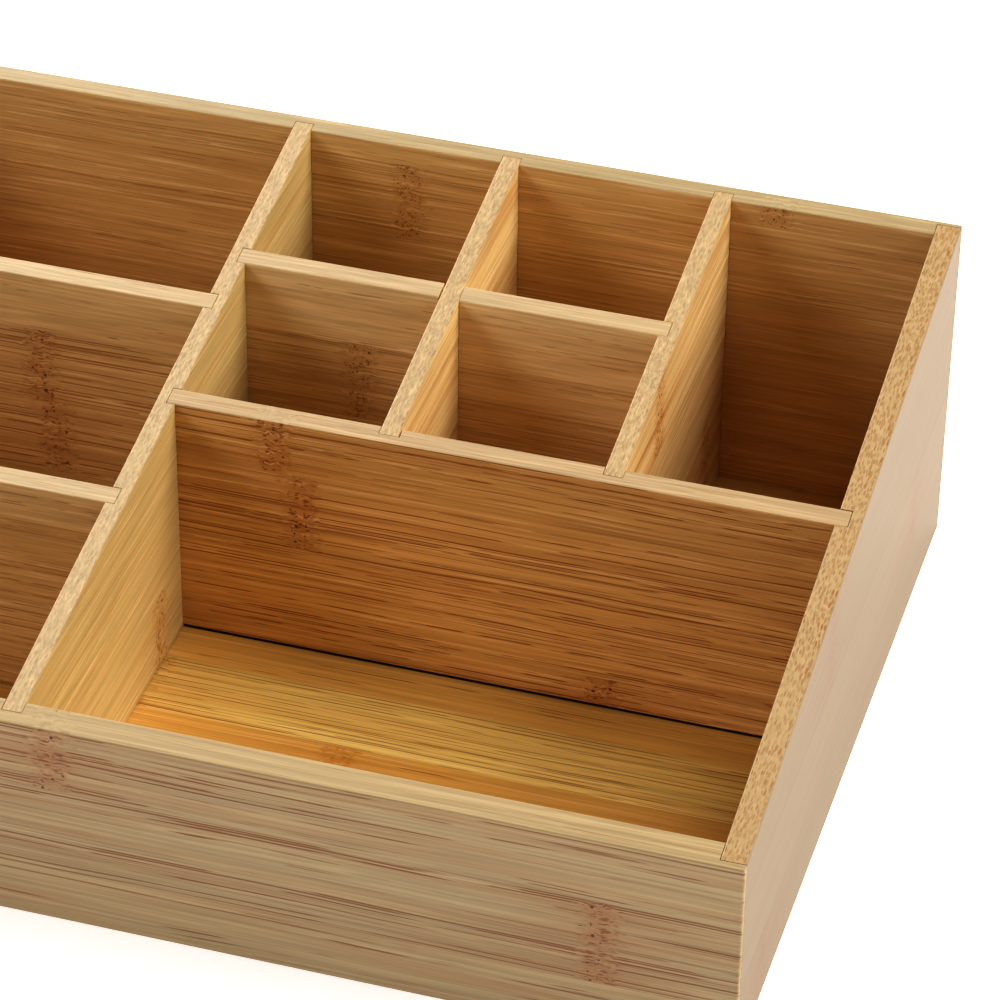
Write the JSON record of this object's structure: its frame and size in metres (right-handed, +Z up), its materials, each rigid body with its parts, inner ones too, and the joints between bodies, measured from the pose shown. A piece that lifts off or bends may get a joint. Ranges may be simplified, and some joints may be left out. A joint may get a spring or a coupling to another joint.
{
  "type": "makeup organizer",
  "caption": "Open bamboo desk organizer for makeup, with a sloped rim that is low at the front, and rows, small cells, a tall cell and a wide front compartment.",
  "frame": {"origin": "on the surface that it stands on, under the middle of its bounding box", "axes": "+X to the right seen from the low front, +Y to the high back, +Z up"},
  "size_m": [0.282, 0.21, 0.0904],
  "materials": {
    "front_panel_bamboo": "sanded strip-laminated bamboo under a thin clear satin lacquer",
    "back_panel_bamboo": "sanded strip-laminated bamboo under a thin clear satin lacquer",
    "side_panel_bamboo": "sanded strip-laminated bamboo under a thin clear satin lacquer",
    "base_panel_bamboo": "sanded strip-laminated bamboo under a thin clear satin lacquer",
    "partition_bamboo": "sanded strip-laminated bamboo under a thin clear satin lacquer",
    "divider_bamboo": "sanded strip-laminated bamboo under a thin clear satin lacquer"
  },
  "bodies": {
    "root": {"front_panel": "front_panel_bamboo", "back_panel": "back_panel_bamboo", "left_side": "side_panel_bamboo", "right_side": "side_panel_bamboo", "base_panel": "base_panel_bamboo", "main_partition": "partition_bamboo", "cell_partition": "partition_bamboo", "tall_cell_partition": "partition_bamboo", "front_divider": "divider_bamboo", "cell_divider": "divider_bamboo", "row_divider_1": "divider_bamboo", "row_divider_2": "divider_bamboo"}
  },
  "joints": []
}
